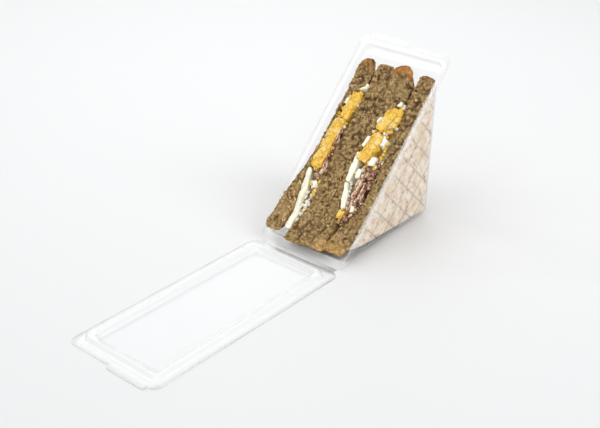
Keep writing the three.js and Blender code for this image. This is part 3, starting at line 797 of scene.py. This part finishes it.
def facets_at(co, scale, seed):
    """Tilted flat chips: how far each point stands out, about -1 to 1, and how deep in a crack it lies."""
    shift = Vector((seed * 5.71, seed * 2.93, seed * 6.37))
    factor = 1 / (scale * MM)
    heights = []
    cracks = []
    for p in co:
        here = Vector(p) * factor + shift
        distances, points = noise.voronoi(here)
        tilt = Vector([noise.noise(points[0] * 7.7 + away) for away in TILT_SHIFTS])
        heights.append(2.2 * (here - points[0]).dot(tilt) + 0.8 * noise.noise(points[0] * 3.1))
        cracks.append(distances[1] - distances[0])
    return np.array(heights), 1 - smoothstep(0.0, 0.16, np.array(cracks))


def set_attribute(mesh, name, values):
    attribute = mesh.attributes.new(name, "FLOAT", "POINT")
    attribute.data.foreach_set("value", np.asarray(values, np.float32))


MOUTH_NORMAL = (0.0, SIN, -COS)


def press_with_lid(obj):
    """Gives the food its own copy of its mesh."""
    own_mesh(obj)


def place_food(obj, node, material):
    obj.data.materials.clear()
    obj.data.materials.append(material)
    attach(obj, "base")
    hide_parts(node)
    press_with_lid(obj)


def lift_front(uvw, amount, depth):
    """Raises the cut face towards the lid by amount, fading to nothing at a depth below it."""
    uvw[:, 2] -= amount * (1 - smoothstep(0, depth, uvw[:, 2] - CUT_FACE))


def droop_over_flange(uvw, reach):
    """What stands above the ledge at the lower end sags over the flange."""
    above = smoothstep(-1.0, 6.0, 4.0 - uvw[:, 2])
    near = 1 - smoothstep(8, 30, uvw[:, 1])
    uvw[:, 1] -= reach * above * near


# For each slice: how far its lower end lifts, sags and shifts and where that fades, how far its top swells
# out and rises, the middle and half width of its round top, how much of the top is crust, and how far its
# lower end spreads to the left and right
SLICES = {
    "bread_slice_left": dict(
        lift=11.0, fade=105, droop=6.5, shove=-3.2, dome=2.0, rise=2.5, top=(-27.5, 6.5),
        crust_top=0.5, widen=(0.0, 1.0), seed=1.0),
    "bread_slice_middle_left": dict(
        lift=10.5, fade=45, droop=10.0, shove=0.0, dome=1.0, rise=1.5, top=(-10.0, 8.0),
        crust_top=0.0, widen=(1.5, 3.5), seed=2.0),
    "bread_slice_middle_right": dict(
        lift=10.5, fade=42, droop=8.5, shove=0.0, dome=3.5, rise=4.5, top=(7.0, 9.0),
        crust_top=1.0, widen=(3.0, 5.0), seed=3.0),
    "bread_slice_right": dict(
        lift=7.0, fade=34, droop=5.5, shove=-0.8, dome=0.8, rise=1.5, top=(29.0, 8.0),
        crust_top=0.1, widen=(4.5, 0.0), seed=4.0),
}
SLICE_LIFT_DEPTH = 16.0
PIECE_LIFT_DEPTH = 9.0


def slice_zones(node, shape, co, normals, uvw):
    """How far each point is on the cut face, near it, crust, the slice's outer face, or toasted."""
    depth = uvw[:, 2] - CUT_FACE
    on_cut = smoothstep(0.3, 0.75, -(normals @ np.array(MOUTH_NORMAL))) * (1 - smoothstep(4, 12, depth))
    near_cut = 1 - smoothstep(1, 7, depth)
    crust_depth = np.minimum(BACK_WALL_Y - (co[:, 1] / MM + MIDDLE_Y), co[:, 2] / MM)
    crust = 1 - smoothstep(1.2, 3.0, crust_depth)
    crown = shape["crust_top"] * smoothstep(158, 164, uvw[:, 1] + 3 * noise_at(co, 7, 8.0))
    crust = np.maximum(crust * (1 - 0.5 * on_cut), crown * (0.55 + 0.45 * on_cut))
    outer = smoothstep(0.6, 0.9, normals[:, 0]) if node == "bread_slice_right" else np.zeros(len(co))
    toast = (1 - smoothstep(12, 26, uvw[:, 1])) * smoothstep(4, 16, uvw[:, 0]) * near_cut
    return on_cut, near_cut, crust, outer, toast


def bend_slice(uvw, normals, shape, near_cut):
    """Lets the slice's lower end out of the mouth and over the flange, and rounds its top."""
    low_end = 1 - smoothstep(8, shape["fade"], uvw[:, 1])
    swell = shape["dome"] * smoothstep(145, 166, uvw[:, 1])
    lift_front(uvw, shape["lift"] * low_end + swell, SLICE_LIFT_DEPTH)
    uvw[:, 0] += shape["shove"] * low_end * (1 - smoothstep(-6, 6, uvw[:, 2]))
    droop_over_flange(uvw, shape["droop"])
    left, right = shape["widen"]
    end = (1 - smoothstep(10, 20, uvw[:, 1])) * near_cut
    uvw[:, 0] += end * (right * np.clip(normals[:, 0], 0, 1) + left * np.clip(normals[:, 0], -1, 0))
    middle, half = shape["top"]
    round_top = 1 - ((uvw[:, 0] - middle) / half) ** 2
    uvw[:, 1] += shape["rise"] * round_top * smoothstep(146, 165, uvw[:, 1]) * near_cut


def crumb_relief(co, seed, on_cut, near_cut):
    """How far crumb and skin stand out, in millimetres, and how deep in a pore each point lies, where the
    crumb's colour is darkened as painted shade.
    """
    swell = 1.1 * noise_at(co, 13, seed) + 0.9 * noise_at(co, 5.5, seed + 1)
    lumps = 1.0 * smoothstep(0.08, 0.6, cells_at(co, 4.4, seed))
    lumps += 0.6 * smoothstep(0.1, 0.5, cells_at(co, 2.3, seed + 2))
    pits = smoothstep(0.1, 0.36, noise_at(co, 3.6, seed + 6))
    pits *= smoothstep(-0.2, 0.2, noise_at(co, 10, seed + 7))
    cut = (swell - 1.1 * lumps - 1.6 * pits + 0.9) * on_cut
    ragged = (0.9 * noise_at(co, 2.2, seed + 5) + 0.8 * noise_at(co, 4.5, seed + 9)) * near_cut
    skin = (0.25 * noise_at(co, 2.2, seed + 3) - 0.3 + ragged) * (1 - on_cut)
    return cut + skin, pits * on_cut + 0.25 * lumps * on_cut


def make_slice(node, shape, material):
    obj = soft_copy(node, node + "_crumb", SLICE_VOXELS, 3)
    mesh = obj.data
    co, normals = get_points(mesh)
    uvw = mouth_points(co)
    on_cut, near_cut, crust, outer, toast = slice_zones(node, shape, co, normals, uvw)
    bend_slice(uvw, normals, shape, near_cut)
    relief, pores = crumb_relief(co, shape["seed"], on_cut, near_cut)
    set_points(mesh, row_points(uvw) + normals * (relief * MM)[:, None])
    set_attribute(mesh, "crust", np.clip(crust, 0, 1))
    set_attribute(mesh, "outer_face", outer * (1 - smoothstep(0.5, 1.0, on_cut)))
    set_attribute(mesh, "toast", np.clip(0.85 * toast, 0, 1))
    # Painted shade in the pores and hollows of the cut face
    set_attribute(mesh, "pit_painted_shade", np.clip(pores, 0, 1))
    place_food(obj, node, material)


def make_filling(node, material):
    obj = soft_copy(node, node + "_mash", FILLING_VOXELS, 4)
    co, normals = get_points(obj.data)
    push = 0.7 * noise_at(co, 6, 5.0) + 0.4 * noise_at(co, 2.5, 6.0) - 0.5
    set_points(obj.data, co + normals * (push * MM)[:, None])
    place_food(obj, node, material)


def make_face_piece(node, food, seed):
    """One piece of egg or bacon on the cut face, chipped and folded as its kind is."""
    obj = soft_copy(node, node + "_food", PIECE_VOXELS, food["soft"])
    co, normals = get_points(obj.data)
    uvw = mouth_points(co)
    up_face = uvw[:, 1]
    lift = food["lift"] * (1 - 0.5 * smoothstep(70, 150, up_face)) + 3.5 * (1 - smoothstep(15, 50, up_face))
    lift_front(uvw, lift, PIECE_LIFT_DEPTH)
    uvw[:, 0] += food["sway"] * noise_at(co, 9, seed)
    uvw[:, 1] += 0.8 * noise_at(co, 8, seed + 1)
    height, split = facets_at(co, food["facet"], seed + 4)
    streak = noise_at(uvw * STREAK_STRETCH * MM, 1.5, seed + 5)
    push = food["rough"] * noise_at(co, 3.0, seed + 2) + food["grain"] * noise_at(co, 1.1, seed + 3)
    push -= food["chip"] * (0.35 * split - height)
    push += food["fold"] * streak
    set_points(obj.data, row_points(uvw) + normals * (push * MM)[:, None])
    # Painted shade in the cracks between chips, read by the yolk's colour
    set_attribute(obj.data, "crevice_painted_shade", split)
    set_attribute(obj.data, "streak", streak)
    place_food(obj, node, food["material"])


# How each kind of food is broken up
FOODS = {
    "yolk": dict(make=egg_yolk, slot="egg_yolk", rough=0.6, grain=0.25, chip=0.95, facet=5.4,
                 lift=1.8, soft=2, sway=0.8, fold=0.0),
    "white": dict(make=egg_white, slot="egg_white", rough=0.3, grain=0.06, chip=0.35, facet=5.0,
                  lift=1.4, soft=2, sway=1.5, fold=0.25),
    "bacon": dict(make=bacon, slot="bacon", rough=0.5, grain=0.2, chip=0.3, facet=7.0,
                  lift=1.0, soft=3, sway=1.8, fold=1.5),
}
STREAK_STRETCH = np.array([1.0, 0.16, 0.7])

# Left and right edges of the two filling bands, as v and u
LEFT_BAND = (
    [(8, -24), (30, -26), (62, -34), (130, -34), (148, -21), (170, -21)],
    [(8, -18), (45, -18), (85, -20.5), (148, -19.5), (170, -19.5)],
)
RIGHT_BAND = (
    [(8, 15), (26, 14.5), (52, 7.5), (82, 1.5), (120, 4.5), (148, 19), (170, 17)],
    [(8, 15.8), (26, 16), (52, 26), (110, 26), (148, 20.5), (170, 20.5)],
)

# Loose bits along the bands: kind, band, from and to up the face, from and to across the band, count, size
BITS = [
    ("yolk", LEFT_BAND, (66, 140), (0.1, 0.9), 90, 2.6),
    ("white", LEFT_BAND, (60, 138), (0.0, 1.0), 30, 2.3),
    ("bacon", LEFT_BAND, (62, 108), (0.7, 1.0), 20, 2.2),
    ("white", LEFT_BAND, (20, 66), (0.4, 1.0), 24, 3.2),
    ("yolk", LEFT_BAND, (30, 66), (0.5, 1.0), 16, 2.8),
    ("bacon", LEFT_BAND, (30, 66), (0.6, 1.0), 16, 2.8),
    ("yolk", RIGHT_BAND, (82, 134), (0.1, 0.9), 90, 2.6),
    ("white", RIGHT_BAND, (80, 140), (0.0, 1.0), 40, 2.4),
    ("white", RIGHT_BAND, (44, 84), (0.0, 0.6), 30, 2.4),
    ("bacon", RIGHT_BAND, (34, 92), (0.4, 1.0), 80, 2.4),
    ("yolk", RIGHT_BAND, (34, 50), (0.2, 0.9), 9, 1.9),
    ("white", RIGHT_BAND, (40, 60), (0.6, 1.0), 5, 1.5),
]
BITS_SEED = 7


def edge_at(points, v):
    """Where a band's edge lies across the face at a height v."""
    for (v0, u0), (v1, u1) in zip(points, points[1:]):
        if v <= v1:
            return u0 + (u1 - u0) * float(smoothstep(v0, v1, v))
    return points[-1][1]


def add_bit(work, rng, band, along, across, size):
    """One dented, squarish crumb at a random place in its stretch of the band."""
    left, right = band
    v = rng.uniform(*along)
    share = rng.uniform(*across)
    u = edge_at(left, v) * (1 - share) + edge_at(right, v) * share
    rise = 3.0 * (1 - float(smoothstep(15, 50, v)))
    centre = row_points([(u, v, CUT_FACE + rng.uniform(-0.6, 1.8) - rise)])[0]
    turn = Euler(rng.uniform(0, 6.28, 3)).to_matrix().to_4x4()
    scale = rng.uniform(0.6, 1.2, 3) * size * MM / 2
    made = bmesh.ops.create_icosphere(work, subdivisions=3, radius=1.0)
    shift = Vector(rng.uniform(0, 90, 3))
    for vert in made["verts"]:
        dents = 1 + 0.45 * noise.noise(vert.co * 1.4 + shift) + 0.15 * noise.noise(vert.co * 4 + shift)
        box = Vector([math.copysign(abs(c) ** 0.6, c) for c in vert.co]) * dents
        vert.co = (turn @ Vector([c * k for c, k in zip(box, scale)])) + Vector(centre)


def make_bits(foods):
    """Crumbled egg and torn bacon between the larger pieces, one mesh for each kind."""
    rng = np.random.default_rng(BITS_SEED)
    for kind, food in foods.items():
        work = bmesh.new()
        for bit_kind, band, along, across, count, size in BITS:
            for _ in range(count if bit_kind == kind else 0):
                add_bit(work, rng, band, along, across, size)
        mesh = bpy.data.meshes.new(kind + "_bits")
        work.to_mesh(mesh)
        work.free()
        shade_smooth(mesh)
        mesh.materials.append(food["material"])
        obj = add_object(kind + "_bits", mesh)
        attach(obj, "base")
        press_with_lid(obj)


def make_sandwich():
    bread = malted_bread()
    mash = filling_mash()
    foods = {kind: dict(food, material=food["make"]()) for kind, food in FOODS.items()}
    for node, shape in SLICES.items():
        make_slice(node, shape, bread)
    for number, node in enumerate(sorted(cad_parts)):
        if node.startswith("egg_filling"):
            make_filling(node, mash)
            continue
        kind = next((k for k in foods if k in node), None)
        if kind:
            make_face_piece(node, foods[kind], number + 0.5)
    make_bits(foods)


bpy.context.scene.view_settings.view_transform = "Standard"
make_camera()
make_light()
make_floor()
PLASTIC = clear_plastic()
make_tray(PLASTIC)
make_lid(PLASTIC)
make_hinge_strip(PLASTIC)
make_sandwich()
